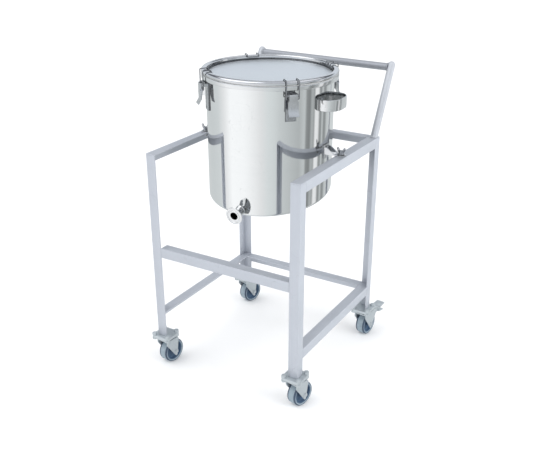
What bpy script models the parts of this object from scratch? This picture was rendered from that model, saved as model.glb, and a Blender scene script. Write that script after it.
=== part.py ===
# A slope-bottom stainless tank with a clip-on lid, hung in a castered stand of angle
# profile with a push handle. Metres, +Z up. The front, with the outlet, faces -Y.
import math

import bmesh
import bpy
from mathutils import Matrix, Vector

MM = 0.001
GAP = 0.3 * MM                     # between pieces that touch

# Stand
STAND_WIDTH = 490 * MM
STAND_DEPTH = 495 * MM
ANGLE_LEG = 30 * MM
ANGLE_WALL = 3 * MM
TOP_RAIL_TOP = 685 * MM
CROSS_RAIL_TOP = 402 * MM
LOWER_RAIL_TOP = 188 * MM

# Casters
PLATE_TOP = 104 * MM
BASE_PLATE = 62 * MM
BASE_PLATE_THICK = 6 * MM
PLATE_CHAMFER = 6 * MM
SWIVEL_PLATE = 60 * MM
SWIVEL_PLATE_THICK = 3 * MM
BOLT_OFFSET = 23.5 * MM
BOLT_ACROSS_CORNERS = 15 * MM
BOLT_HEAD_HEIGHT = 7 * MM
BOLT_NUT_HEIGHT = 5 * MM
RACE_RADIUS = 20 * MM
RACE_BOTTOM = 89 * MM
CROWN_TOP = 84.5 * MM
CROWN_THICK = 3.5 * MM
NECK_RADIUS = 15 * MM
CASTER_TRAIL = 20 * MM
WHEEL_RADIUS = 37.5 * MM
WHEEL_SIDES = 24
TYRE_WIDTH = 31 * MM
TYRE_THICK = 6.5 * MM
TYRE_SHOULDER = 3 * MM
FORK_INSIDE = 19 * MM              # half the space between the fork's cheeks
FORK_WALL = 3 * MM
FORK_FRONT = -16 * MM
FORK_REAR = 30 * MM
FORK_TIP = 22 * MM
AXLE_RADIUS = 4 * MM
AXLE_BORE_RADIUS = 4.1 * MM
AXLE_PAST_FORK = 4 * MM
AXLE_NUT_RADIUS = 7 * MM
HUB_BOSS_RADIUS = 8.5 * MM
HUB_WEB = 5 * MM
PEDAL_PIVOT = (51.5 * MM, 76 * MM)  # behind the swivel axis, above the floor
PEDAL_PIN_RADIUS = 3 * MM
PEDAL_BORE_RADIUS = 3.1 * MM
PEDAL_REACH = 119 * MM
PEDAL_HALF_WIDTH = 14 * MM
CASTER_TURNS = {                   # each caster stands turned by this much at rest
    "front_left": math.radians(-8),
    "front_right": math.radians(-14),
    "rear_left": math.radians(-15),
    "rear_right": math.radians(-7),
}

# Push handle
HANDLE_RADIUS = 11 * MM
HANDLE_FOOT = Vector((232 * MM, 234 * MM, TOP_RAIL_TOP))
HANDLE_TOP = Vector((227 * MM, 351 * MM, 885 * MM))
CROSSBAR_BELOW_TOP = 15 * MM

# Tank
TANK_RADIUS = 180 * MM
TANK_WALL = 1.5 * MM
TANK_BEHIND_CENTRE = 16 * MM
TANK_TURN = math.radians(3)
TANK_SIDES = 48
BOTTOM_HEIGHT = 549 * MM
BOTTOM_SLOPE = 0.148
BOTTOM_THICK = 2 * MM
RIM_RADIUS = 192.5 * MM
RIM_TOP = 892 * MM
RIM_SKIRT_BOTTOM = 880 * MM
LID_BOTTOM = 893.5 * MM
LID_TOP = 905 * MM
LID_DISC_TOP = 892 * MM
LID_SHEET = 1.5 * MM
LID_BEAD_INSIDE = 175.5 * MM

# Tank handles
LOOP_HALF_WIDTH = 52 * MM
LOOP_REACH = 223 * MM
LOOP_FLAT = 28 * MM
LOOP_SHOULDER = 202 * MM
LOOP_HEIGHT = 31 * MM
LOOP_THICK = 3 * MM
LOOP_CENTRE = 829 * MM
LOOP_BEND = 18 * MM

# Brackets and wing bolts
BRACKET_WIDTH = 28 * MM
BRACKET_THICK = 3 * MM
BRACKET_PAD_LOW = 672 * MM
BRACKET_PAD_HIGH = 712 * MM
BRACKET_END = 242 * MM
GUSSET_TOP = 706 * MM
GUSSET_END = 213 * MM
WING_BOLT_AT = 228 * MM
WING_BOLT_RADIUS = 4 * MM
WING_BOLT_HOLE = 4.5 * MM

# Outlet
OUTLET_HEIGHT = 539.5 * MM
OUTLET_OUTER = 12.7 * MM
OUTLET_BORE = 11.5 * MM
FERRULE_RADIUS = 25.25 * MM
OUTLET_LENGTH = 36 * MM

# Latches
LATCH_PIVOT = Vector((196 * MM, 0, 868 * MM))
BAIL_BELOW_PIVOT = 9 * MM
LATCH_HALF_WIDTH = 15 * MM
LATCH_PLATE_LOW = 797 * MM
LATCH_PLATE_OUTSIDE = 183.5 * MM
EAR_THICK = 2 * MM
EAR_RADIUS = 4.5 * MM
LATCH_PIN_RADIUS = 2.4 * MM
LATCH_PIN_HOLE = 2.6 * MM
LEVER_HALF_WIDTH = 11.5 * MM
LEVER_SHEET = 2 * MM
BAIL_HALF_WIDTH = 17.5 * MM
BAIL_REACH = 25.5 * MM
BAIL_OUTER_RISE = 1.8 * MM          # its wire's centre above the lid, at the lid's edge
BAIL_INNER_RISE = 3 * MM
BAIL_TIP_DROP = 4.5 * MM
WIRE_RADIUS = 1.5 * MM
WIRE_HOLE = 1.75 * MM
LATCH_TURNS = {
    "front_right": math.radians(-42),
    "rear_right": math.radians(48),
    "rear_left": math.radians(138),
    "front_left": math.radians(228),
}

# The stand's centre lies in front of the middle between the front caster plates and
# the push handle's rear end, which is the origin
FRONT_REACH = STAND_DEPTH / 2 - ANGLE_LEG / 2 + BASE_PLATE / 2
REAR_REACH = HANDLE_TOP.y + HANDLE_RADIUS
STAND_Y = (FRONT_REACH - REAR_REACH) / 2
TANK_PLACE = Vector((0, STAND_Y + TANK_BEHIND_CENTRE, 0))
LEFT = -STAND_WIDTH / 2
RIGHT = STAND_WIDTH / 2
FRONT = STAND_Y - STAND_DEPTH / 2
BACK = STAND_Y + STAND_DEPTH / 2
SWIVEL_INSET = ANGLE_LEG / 2


def clear_scene():
    for old in list(bpy.data.objects):
        bpy.data.objects.remove(old)


def make_material(name, colour, metallic, roughness):
    material = bpy.data.materials.new(name)
    material.use_nodes = True
    shader = material.node_tree.nodes["Principled BSDF"]
    shader.inputs["Base Color"].default_value = (*colour, 1)
    shader.inputs["Metallic"].default_value = metallic
    shader.inputs["Roughness"].default_value = roughness
    return material


def make_collection(name):
    collection = bpy.data.collections.new(name)
    bpy.context.scene.collection.children.link(collection)
    return collection


def link(mesh, name, collection):
    piece = bpy.data.objects.new(name, mesh)
    collection.objects.link(piece)
    return piece


def mesh_from(shape, name):
    bmesh.ops.recalc_face_normals(shape, faces=shape.faces)
    mesh = bpy.data.meshes.new(name)
    shape.to_mesh(mesh)
    shape.free()
    return mesh


def box(low, high):
    low, high = Vector(low), Vector(high)
    size = high - low
    shape = bmesh.new()
    placing = Matrix.Translation((low + high) / 2) @ Matrix.Diagonal((*size, 1))
    bmesh.ops.create_cube(shape, size=1, matrix=placing)
    return mesh_from(shape, "box")


def rod(start, end, radius, sides, end_radius=None):
    # A round or conical bar from one point to another
    start, end = Vector(start), Vector(end)
    along = end - start
    turn = along.to_track_quat("Z", "Y").to_matrix().to_4x4()
    shape = bmesh.new()
    bmesh.ops.create_cone(
        shape, cap_ends=True, segments=sides, radius1=radius,
        radius2=radius if end_radius is None else end_radius, depth=along.length,
        matrix=Matrix.Translation((start + end) / 2) @ turn)
    return mesh_from(shape, "rod")


def evaluated_mesh(piece):
    bpy.context.view_layer.update()
    graph = bpy.context.evaluated_depsgraph_get()
    return bpy.data.meshes.new_from_object(piece.evaluated_get(graph))


def turned(profile, sides, closed=False):
    # A profile of (radius, height) points turned round the Z axis
    points = [(radius, 0, height) for radius, height in profile]
    edges = [(i, i + 1) for i in range(len(points) - 1)]
    if closed:
        edges.append((len(points) - 1, 0))
    mesh = bpy.data.meshes.new("profile")
    mesh.from_pydata(points, edges, [])
    piece = link(mesh, "profile", cutters)
    screw = piece.modifiers.new("Turn", "SCREW")
    screw.steps = sides
    screw.render_steps = sides
    screw.use_merge_vertices = True
    screw.merge_threshold = 0.00001
    result = evaluated_mesh(piece)
    bpy.data.objects.remove(piece)
    shape = bmesh.new()
    shape.from_mesh(result)
    return mesh_from(shape, "turned")


def plate(outline, low, high, across):
    # A flat outline extruded from LOW to HIGH along Y ("XZ"), along X ("YZ") or along Z ("XY")
    curve = bpy.data.curves.new("outline", "CURVE")
    curve.dimensions = "2D"
    curve.fill_mode = "BOTH"
    curve.extrude = (high - low) / 2
    line = curve.splines.new("POLY")
    line.points.add(len(outline) - 1)
    for point, (first, second) in zip(line.points, outline):
        point.co = (first, second, 0, 1)
    line.use_cyclic_u = True
    piece = link_curve(curve)
    mesh = evaluated_mesh(piece)
    bpy.data.objects.remove(piece)
    middle = Matrix.Translation((0, 0, (low + high) / 2))
    turns = {
        "XY": Matrix.Identity(4),
        "XZ": Matrix(((1, 0, 0, 0), (0, 0, 1, 0), (0, 1, 0, 0), (0, 0, 0, 1))),
        "YZ": Matrix(((0, 0, 1, 0), (1, 0, 0, 0), (0, 1, 0, 0), (0, 0, 0, 1))),
    }
    mesh.transform(turns[across] @ middle)
    return welded(mesh)


def link_curve(curve):
    piece = bpy.data.objects.new("curve", curve)
    cutters.objects.link(piece)
    return piece


def welded(mesh):
    shape = bmesh.new()
    shape.from_mesh(mesh)
    bmesh.ops.remove_doubles(shape, verts=shape.verts, dist=0.00001)
    return mesh_from(shape, mesh.name)


def wire(points, radius):
    # A round wire along 3-D points, with closed ends
    curve = bpy.data.curves.new("wire", "CURVE")
    curve.dimensions = "3D"
    curve.bevel_depth = radius
    curve.bevel_resolution = 2
    curve.use_fill_caps = True
    line = curve.splines.new("POLY")
    line.points.add(len(points) - 1)
    for point, place in zip(line.points, points):
        point.co = (*place, 1)
    piece = link_curve(curve)
    mesh = evaluated_mesh(piece)
    bpy.data.objects.remove(piece)
    return welded(mesh)


def rounded(points, radius, steps, closed=False):
    # The same line with each corner replaced by a short curve
    points = [Vector(point) for point in points]
    count = len(points)
    smooth = []
    for index, corner in enumerate(points):
        if not closed and index in (0, count - 1):
            smooth.append(corner)
            continue
        before = points[index - 1] - corner
        after = points[(index + 1) % count] - corner
        start = corner + before.normalized() * min(radius, before.length * 0.49)
        end = corner + after.normalized() * min(radius, after.length * 0.49)
        for step in range(steps + 1):
            t = step / steps
            smooth.append(start * (1 - t) ** 2 + corner * 2 * t * (1 - t) + end * t ** 2)
    return smooth


def arc(centre, radius, start, end, steps):
    # Points on a circle from one angle to another, in degrees
    points = []
    for step in range(steps + 1):
        angle = math.radians(start + (end - start) * step / steps)
        points.append((centre[0] + radius * math.cos(angle), centre[1] + radius * math.sin(angle)))
    return points


def strip(path, thickness):
    # The closed outline of a flat bar of even thickness along a 2-D path
    left_side, right_side = [], []
    for index, point in enumerate(path):
        before = path[max(index - 1, 0)]
        after = path[min(index + 1, len(path) - 1)]
        direction = (after - before).normalized()
        side = Vector((-direction.y, direction.x)) * thickness / 2
        left_side.append(point + side)
        right_side.append(point - side)
    return [tuple(point) for point in left_side + right_side[::-1]]


def combined(base, tools, operation):
    # The mesh BASE joined with, or cut by, each mesh in TOOLS
    body = link(base, "body", cutters)
    helpers = []
    for tool in tools:
        helper = link(tool, "tool", cutters)
        helper.hide_render = True
        helper.display_type = "WIRE"
        change = body.modifiers.new(operation, "BOOLEAN")
        change.operation = operation
        change.solver = "EXACT"
        change.object = helper
        helpers.append(helper)
    mesh = evaluated_mesh(body)
    for helper in helpers + [body]:
        bpy.data.objects.remove(helper)
    return mesh


def joined(base, *tools):
    return combined(base, tools, "UNION")


def cut(base, *tools):
    return combined(base, tools, "DIFFERENCE")


def finish(name, mesh, material, place=(0, 0, 0), turn=0.0):
    # The finished sub-part, with its material, shading and place
    mesh.materials.clear()
    mesh.materials.append(material)
    mesh.shade_smooth()
    mesh.set_sharp_from_angle(angle=math.radians(30))
    piece = link(mesh, name, parts)
    piece.location = place
    piece.rotation_euler = (0, 0, turn)


def mirrored(mesh):
    # The same mesh on the other side of the YZ plane
    copy = mesh.copy()
    copy.transform(Matrix.Diagonal((-1, 1, 1, 1)))
    copy.flip_normals()
    return copy


def tank_wall_cutter(turn):
    # The space of the shell and of all that is inside it, seen from a piece turned by TURN
    tool = rod((0, 0, BOTTOM_HEIGHT - 0.1), (0, 0, LID_TOP + 0.1), TANK_RADIUS + GAP, TANK_SIDES)
    tool.transform(Matrix.Rotation(first_side_angle() + TANK_TURN - turn, 4, "Z"))
    return tool


def first_side_angle():
    # A cone's first corner lies on +Y, a turned profile's on +X
    return math.radians(90)


def build_legs():
    low, high = PLATE_TOP + GAP, TOP_RAIL_TOP - ANGLE_WALL - GAP
    for side, across in (("left", 1), ("right", -1)):
        for end, along in (("front", 1), ("rear", -1)):
            corner_x = LEFT if side == "left" else RIGHT
            corner_y = FRONT if end == "front" else BACK
            outline = [(0, 0), (ANGLE_LEG, 0), (ANGLE_LEG, ANGLE_WALL), (ANGLE_WALL, ANGLE_WALL),
                       (ANGLE_WALL, ANGLE_LEG), (0, ANGLE_LEG)]
            outline = [(across * x, along * y) for x, y in outline]
            leg = plate(outline, low, high, "XY")
            finish(f"{end}_{side}_leg", leg, satin_steel, (corner_x, corner_y, 0))


def side_rail(top, full_depth):
    # The left side's rail, with its flanges outside and on top
    inner = LEFT + ANGLE_LEG
    foot = top - ANGLE_LEG
    between = (FRONT + ANGLE_LEG + GAP, BACK - ANGLE_LEG - GAP)
    upright = box((LEFT, between[0], foot), (LEFT + ANGLE_WALL, between[1], top))
    flange = box((LEFT, between[0], top - ANGLE_WALL), (inner, between[1], top))
    if full_depth:
        flange = box((LEFT, FRONT, top - ANGLE_WALL), (inner, BACK, top))
        return joined(upright, flange)
    behind_legs = ANGLE_WALL + GAP
    tongue = box((LEFT + behind_legs, FRONT + behind_legs, top - ANGLE_WALL),
                 (inner, BACK - behind_legs, top))
    return joined(upright, flange, tongue)


def cross_rail(top, face, inward):
    # A rail from side to side, its upright flange at FACE and its top flange going INWARD
    ends = (LEFT + ANGLE_LEG + GAP, RIGHT - ANGLE_LEG - GAP)
    outline = [(0, -ANGLE_LEG), (ANGLE_WALL, -ANGLE_LEG), (ANGLE_WALL, -ANGLE_WALL),
               (ANGLE_LEG, -ANGLE_WALL), (ANGLE_LEG, 0), (0, 0)]
    outline = [(face + inward * y, top + z) for y, z in outline]
    return plate(outline, ends[0], ends[1], "YZ")


def build_rails():
    hole = rod((-WING_BOLT_AT, TANK_PLACE.y, TOP_RAIL_TOP - 0.02),
               (-WING_BOLT_AT, TANK_PLACE.y, TOP_RAIL_TOP + 0.02), WING_BOLT_HOLE, 24)
    top_rail = cut(side_rail(TOP_RAIL_TOP, True), hole)
    lower_rail = side_rail(LOWER_RAIL_TOP, False)
    finish("left_top_rail", top_rail, satin_steel)
    finish("right_top_rail", mirrored(top_rail), satin_steel)
    finish("left_lower_rail", lower_rail, satin_steel)
    finish("right_lower_rail", mirrored(lower_rail), satin_steel)
    finish("rear_top_rail", cross_rail(TOP_RAIL_TOP, BACK, -1), satin_steel)
    finish("rear_lower_rail", cross_rail(LOWER_RAIL_TOP, BACK, -1), satin_steel)
    finish("front_cross_rail", cross_rail(CROSS_RAIL_TOP, FRONT, 1), satin_steel)


def build_push_handle():
    foot = HANDLE_FOOT + Vector((0, STAND_Y, 0))
    top = HANDLE_TOP + Vector((0, STAND_Y, 0))
    length = (top - foot).length
    dome = [(0, length + HANDLE_RADIUS)] + arc((0, length), HANDLE_RADIUS, 72, 0, 4)
    upright = turned(dome + [(HANDLE_RADIUS, -0.03), (0, -0.03)], 24)
    lean = (top - foot).to_track_quat("Z", "Y").to_matrix().to_4x4()
    upright.transform(Matrix.Translation(foot) @ lean)
    below = box((0, BACK - 0.1, TOP_RAIL_TOP - 0.1), (0.3, BACK + 0.1, TOP_RAIL_TOP + GAP))
    upright = cut(upright, below)
    finish("right_handle_upright", upright, satin_tube)
    finish("left_handle_upright", mirrored(upright), satin_tube)

    at = top + (foot - top).normalized() * CROSSBAR_BELOW_TOP
    bar = rod((-at.x, at.y, at.z), (at.x, at.y, at.z), HANDLE_RADIUS, 24)
    saddle = rod(foot, top + (top - foot).normalized() * 0.05, HANDLE_RADIUS + GAP, 24)
    finish("handle_crossbar", cut(bar, saddle, mirrored(saddle)), satin_tube)


def chamfered_square(half):
    # The outline of a square plate with its corners cut off
    short = half - PLATE_CHAMFER
    return [(half, -short), (half, short), (short, half), (-short, half), (-half, short),
            (-half, -short), (-short, -half), (short, -half)]


def caster_plate_mesh():
    # The welded base plate, the caster's own plate, their bolts and the upper race
    base_bottom = PLATE_TOP - BASE_PLATE_THICK
    swivel_bottom = base_bottom - SWIVEL_PLATE_THICK
    base = plate(chamfered_square(BASE_PLATE / 2), base_bottom, PLATE_TOP, "XY")
    swivel = plate(chamfered_square(SWIVEL_PLATE / 2), swivel_bottom, base_bottom + MM, "XY")
    race = rod((0, 0, RACE_BOTTOM), (0, 0, swivel_bottom + MM), RACE_RADIUS, 24)
    radius = BOLT_ACROSS_CORNERS / 2
    bolts = []
    for x in (-BOLT_OFFSET, BOLT_OFFSET):
        for y in (-BOLT_OFFSET, BOLT_OFFSET):
            bolts.append(rod((x, y, PLATE_TOP - MM), (x, y, PLATE_TOP + BOLT_HEAD_HEIGHT), radius, 6))
            bolts.append(rod((x, y, swivel_bottom - BOLT_NUT_HEIGHT), (x, y, swivel_bottom + MM),
                             radius, 6))
    return joined(base, swivel, race, *bolts)


def fork_cheek(with_ear):
    # The outline of one cheek, in (behind the swivel axis, height)
    top = [(FORK_FRONT, 71 * MM), (FORK_FRONT, CROWN_TOP), (FORK_REAR, CROWN_TOP), (33 * MM, 79 * MM)]
    if with_ear:
        top = top[:2] + [(36 * MM, CROWN_TOP)] + arc(PEDAL_PIVOT, 7 * MM, 60, -110, 6)
    bottom = arc((CASTER_TRAIL, FORK_TIP + 4 * MM), 4 * MM, -20, -150, 6)
    return top + bottom


def fork_mesh(with_ear):
    crown = box((-FORK_INSIDE - MM, FORK_FRONT, CROWN_TOP - CROWN_THICK),
                (FORK_INSIDE + MM, FORK_REAR, CROWN_TOP))
    neck = rod((0, 0, CROWN_TOP - MM), (0, 0, RACE_BOTTOM - GAP), NECK_RADIUS, 16)
    outline = fork_cheek(with_ear)
    outside = FORK_INSIDE + FORK_WALL
    cheeks = [plate(outline, FORK_INSIDE, outside, "YZ"),
              plate(outline, -outside, -FORK_INSIDE, "YZ")]
    axle_end = outside + AXLE_PAST_FORK
    eye = (CASTER_TRAIL, WHEEL_RADIUS)
    axle = [rod((-axle_end, *eye), (axle_end, *eye), AXLE_RADIUS, 16)]
    for side in (-1, 1):
        nut = rod((side * (outside - MM), *eye), (side * (axle_end - MM), *eye), AXLE_NUT_RADIUS, 6)
        axle.append(nut)
    pins = []
    if with_ear:
        pin_end = outside + 1.5 * MM
        pins.append(rod((-pin_end, *PEDAL_PIVOT), (pin_end, *PEDAL_PIVOT), PEDAL_PIN_RADIUS, 16))
    return joined(crown, neck, *cheeks, *axle, *pins)


def wheel_meshes():
    across = Matrix.Rotation(math.radians(90), 4, "Y")
    half = TYRE_WIDTH / 2
    inside = WHEEL_RADIUS - TYRE_THICK
    shoulder = TYRE_SHOULDER
    tread = [(WHEEL_RADIUS - shoulder, half), (WHEEL_RADIUS - 0.8 * MM, half - shoulder),
             (WHEEL_RADIUS, half - 2 * shoulder)]
    side = [(inside, half - MM)] + tread
    tyre = turned(side + [(radius, -height) for radius, height in side[::-1]], WHEEL_SIDES, closed=True)
    rim = inside - GAP
    barrel = FORK_INSIDE - GAP
    flange = half - 2 * MM
    side = [(AXLE_BORE_RADIUS, barrel), (HUB_BOSS_RADIUS, barrel), (HUB_BOSS_RADIUS + MM, HUB_WEB + MM),
            (rim - 3 * MM, HUB_WEB), (rim - 2 * MM, flange), (rim, flange)]
    hub = turned(side + [(radius, -height) for radius, height in side[::-1]], WHEEL_SIDES, closed=True)
    tyre.transform(across)
    hub.transform(across)
    return tyre, hub


def pedal_mesh():
    # The brake pedal, with its origin on its pivot
    width = FORK_INSIDE - GAP
    barrel = rod((-width, 0, 0), (width, 0, 0), 6.5 * MM, 24)
    reach = PEDAL_REACH - PEDAL_PIVOT[0]
    arm = plate([(0, 5 * MM), (44 * MM, -4.5 * MM), (44 * MM, -11 * MM), (41 * MM, -21 * MM),
                 (36 * MM, -22.5 * MM), (26 * MM, -17 * MM), (0, -5 * MM)], -9 * MM, 9 * MM, "YZ")
    upper_pad = plate([(38 * MM, -3 * MM), (reach, -1 * MM), (reach, -5 * MM), (42 * MM, -10 * MM)],
                      -PEDAL_HALF_WIDTH, PEDAL_HALF_WIDTH, "YZ")
    lower_pad = plate([(30 * MM, -16 * MM), (60 * MM, -22 * MM), (60 * MM, -26 * MM), (32 * MM, -22 * MM)],
                      -PEDAL_HALF_WIDTH, PEDAL_HALF_WIDTH, "YZ")
    bore = rod((-0.05, 0, 0), (0.05, 0, 0), PEDAL_BORE_RADIUS, 16)
    return cut(joined(barrel, arm, upper_pad, lower_pad), bore)


def build_casters():
    plates = caster_plate_mesh()
    forks = {False: fork_mesh(False), True: fork_mesh(True)}
    tyre, hub = wheel_meshes()
    for side, x in (("left", LEFT + SWIVEL_INSET), ("right", RIGHT - SWIVEL_INSET)):
        for end, y in (("front", FRONT + SWIVEL_INSET), ("rear", BACK - SWIVEL_INSET)):
            corner = f"{end}_{side}"
            braked = corner == "rear_right"
            finish(f"{corner}_caster_plate", plates, zinc_steel, (x, y, 0))
            turn = CASTER_TURNS[corner]
            behind = Vector((-math.sin(turn), math.cos(turn), 0))
            finish(f"{corner}_caster_fork", forks[braked], zinc_steel, (x, y, 0), turn)
            wheel_place = Vector((x, y, WHEEL_RADIUS)) + behind * CASTER_TRAIL
            finish(f"{corner}_wheel_hub", hub, dark_hub, wheel_place, turn)
            finish(f"{corner}_tyre", tyre, grey_rubber, wheel_place, turn)
            if braked:
                pivot = Vector((x, y, PEDAL_PIVOT[1])) + behind * PEDAL_PIVOT[0]
                finish(f"{corner}_brake_pedal", pedal_mesh(), zinc_steel, pivot, turn)


def slope_slab(low, high):
    # A tilted slab that follows the tank's bottom, from LOW to HIGH above its underside
    slope = math.atan(BOTTOM_SLOPE)
    slab = box((-0.3, -0.3, low * math.cos(slope)), (0.3, 0.3, high * math.cos(slope)))
    slab.transform(Matrix.Translation((0, 0, BOTTOM_HEIGHT)) @ Matrix.Rotation(slope, 4, "X"))
    return slab


def outlet_axis():
    # From the outlet's own frame (Z along the pipe, origin at the shell) to the tank's
    slope = math.atan(BOTTOM_SLOPE)
    at_shell = Matrix.Translation((0, -TANK_RADIUS, OUTLET_HEIGHT))
    return at_shell @ Matrix.Rotation(math.radians(90) + slope, 4, "X")


def build_tank():
    bare = TANK_RADIUS - TANK_WALL
    skirt = RIM_RADIUS - TANK_WALL
    flange_bottom = RIM_TOP - TANK_WALL
    rim = turned([(bare, RIM_TOP), (RIM_RADIUS - MM, RIM_TOP), (RIM_RADIUS, RIM_TOP - MM),
                  (RIM_RADIUS, RIM_SKIRT_BOTTOM), (skirt, RIM_SKIRT_BOTTOM), (skirt, flange_bottom),
                  (bare, flange_bottom)], TANK_SIDES, closed=True)
    finish("tank_rim", rim, polished_steel, TANK_PLACE, TANK_TURN)

    top = flange_bottom - GAP
    below = BOTTOM_HEIGHT - 0.05
    shell = turned([(bare, top), (TANK_RADIUS, top), (TANK_RADIUS, below), (bare, below)],
                   TANK_SIDES, closed=True)
    hole = rod((0, 0, -0.02), (0, 0, 0.02), OUTLET_OUTER + GAP, 32)
    hole.transform(outlet_axis())
    shell = cut(shell, slope_slab(-0.2, BOTTOM_THICK + GAP), hole)
    finish("tank_shell", shell, polished_steel, TANK_PLACE, TANK_TURN)

    bottom = turned([(0, BOTTOM_HEIGHT + 0.05), (TANK_RADIUS, BOTTOM_HEIGHT + 0.05),
                     (TANK_RADIUS, BOTTOM_HEIGHT - 0.05), (0, BOTTOM_HEIGHT - 0.05)], TANK_SIDES)
    bottom = cut(bottom, slope_slab(-0.2, 0), slope_slab(BOTTOM_THICK, 0.2))
    finish("tank_bottom", bottom, polished_steel, TANK_PLACE, TANK_TURN)

    outer = OUTLET_OUTER
    outlet = turned([(OUTLET_BORE, OUTLET_LENGTH), (FERRULE_RADIUS, OUTLET_LENGTH),
                     (FERRULE_RADIUS, OUTLET_LENGTH - 2.8 * MM), (15.5 * MM, OUTLET_LENGTH - 6.5 * MM),
                     (outer, OUTLET_LENGTH - 8 * MM), (outer, -3 * MM), (OUTLET_BORE, -3 * MM)],
                    32, closed=True)
    outlet.transform(outlet_axis())
    finish("outlet", outlet, polished_steel, TANK_PLACE, TANK_TURN)


def build_lid():
    channel_in = LID_BEAD_INSIDE + LID_SHEET
    channel_out = RIM_RADIUS - LID_SHEET
    disc_bottom = LID_DISC_TOP - LID_SHEET
    channel_top = LID_TOP - LID_SHEET
    disc = [(0, LID_DISC_TOP), (LID_BEAD_INSIDE - 3 * MM, LID_DISC_TOP)]
    bead = [(LID_BEAD_INSIDE, LID_DISC_TOP + 3 * MM), (LID_BEAD_INSIDE + 2 * MM, LID_TOP),
            (RIM_RADIUS - 2.5 * MM, LID_TOP), (RIM_RADIUS, LID_TOP - 2.5 * MM), (RIM_RADIUS, LID_BOTTOM)]
    underside = [(channel_out, LID_BOTTOM), (channel_out - MM, channel_top), (channel_in + MM, channel_top),
                 (channel_in, disc_bottom), (0, disc_bottom)]
    lid = turned(disc + bead + underside, TANK_SIDES)
    finish("lid", lid, satin_lid, TANK_PLACE, TANK_TURN)

    gasket_in, gasket_out = channel_in + GAP, channel_out - GAP
    gasket_top, gasket_bottom = channel_top - GAP, RIM_TOP + GAP
    gasket = turned([(gasket_in + MM, gasket_top), (gasket_out - MM, gasket_top),
                     (gasket_out, gasket_bottom), (gasket_in, gasket_bottom)], TANK_SIDES, closed=True)
    finish("lid_gasket", gasket, pale_rubber, TANK_PLACE, TANK_TURN)


def build_tank_handles():
    root = TANK_RADIUS - 20 * MM
    bend = [Vector((root, LOOP_HALF_WIDTH)), Vector((LOOP_SHOULDER, LOOP_HALF_WIDTH)),
            Vector((LOOP_REACH, LOOP_FLAT)), Vector((LOOP_REACH, -LOOP_FLAT)),
            Vector((LOOP_SHOULDER, -LOOP_HALF_WIDTH)), Vector((root, -LOOP_HALF_WIDTH))]
    outline = strip(rounded(bend, LOOP_BEND, 4), LOOP_THICK)
    low, high = LOOP_CENTRE - LOOP_HEIGHT / 2, LOOP_CENTRE + LOOP_HEIGHT / 2
    for side, turn in (("right", TANK_TURN), ("left", TANK_TURN + math.pi)):
        loop = cut(plate(outline, low, high, "XY"), tank_wall_cutter(turn))
        finish(f"{side}_tank_handle", loop, polished_steel, TANK_PLACE, turn)


def wing_bolt_mesh():
    # The bolt, its hub, wings, washer and nut, with the origin on the rail's top face
    seat = BRACKET_THICK + 2 * GAP
    flange_bottom = -ANGLE_WALL - GAP
    shank = rod((0, 0, flange_bottom - 9 * MM), (0, 0, seat + 2 * MM), WING_BOLT_RADIUS, 24)
    nut = rod((0, 0, flange_bottom - 6.5 * MM), (0, 0, flange_bottom), 7.5 * MM, 6)
    washer = rod((0, 0, seat), (0, 0, seat + 1.6 * MM), 10 * MM, 24)
    hub = rod((0, 0, seat + MM), (0, 0, seat + 12 * MM), 7.5 * MM, 24, 5.5 * MM)
    lobe = [(0, 6 * MM), (5 * MM, 6 * MM), (10.5 * MM, 13 * MM), (13 * MM, 20 * MM), (12 * MM, 23.5 * MM),
            (9.5 * MM, 24.5 * MM), (7 * MM, 22 * MM), (3.5 * MM, 15 * MM), (0, 13.5 * MM)]
    wings = [plate(lobe, -1.4 * MM, 1.4 * MM, "XZ")]
    wings.append(mirrored(wings[0]))
    return joined(shank, nut, washer, hub, *wings)


def build_brackets():
    half = BRACKET_WIDTH / 2
    tab_bottom = TOP_RAIL_TOP + GAP
    bolt = wing_bolt_mesh()
    for side, turn in (("right", 0.0), ("left", math.pi)):
        pad = box((TANK_RADIUS - 3 * MM, -half, BRACKET_PAD_LOW),
                  (TANK_RADIUS + BRACKET_THICK + GAP, half, BRACKET_PAD_HIGH))
        root = TANK_RADIUS + 2 * MM
        end_round = arc((BRACKET_END - half, 0), half, -90, 90, 8)
        tab = plate([(root, half), (root, -half)] + end_round, tab_bottom, tab_bottom + BRACKET_THICK, "XY")
        web = [(root, tab_bottom + MM), (root, GUSSET_TOP), (root + 7 * MM, GUSSET_TOP),
               (GUSSET_END, tab_bottom + BRACKET_THICK + MM), (GUSSET_END, tab_bottom + MM)]
        gussets = [plate(web, half - BRACKET_THICK, half, "XZ"),
                   plate(web, -half, BRACKET_THICK - half, "XZ")]
        hole = rod((WING_BOLT_AT, 0, tab_bottom - 0.01), (WING_BOLT_AT, 0, tab_bottom + 0.01),
                   WING_BOLT_HOLE, 24)
        bracket = cut(joined(pad, tab, *gussets), tank_wall_cutter(turn), hole)
        finish(f"{side}_tank_bracket", bracket, satin_steel, TANK_PLACE, turn)
        across = WING_BOLT_AT if side == "right" else -WING_BOLT_AT
        finish(f"{side}_wing_bolt", bolt, polished_steel, (across, TANK_PLACE.y, TOP_RAIL_TOP))


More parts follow.
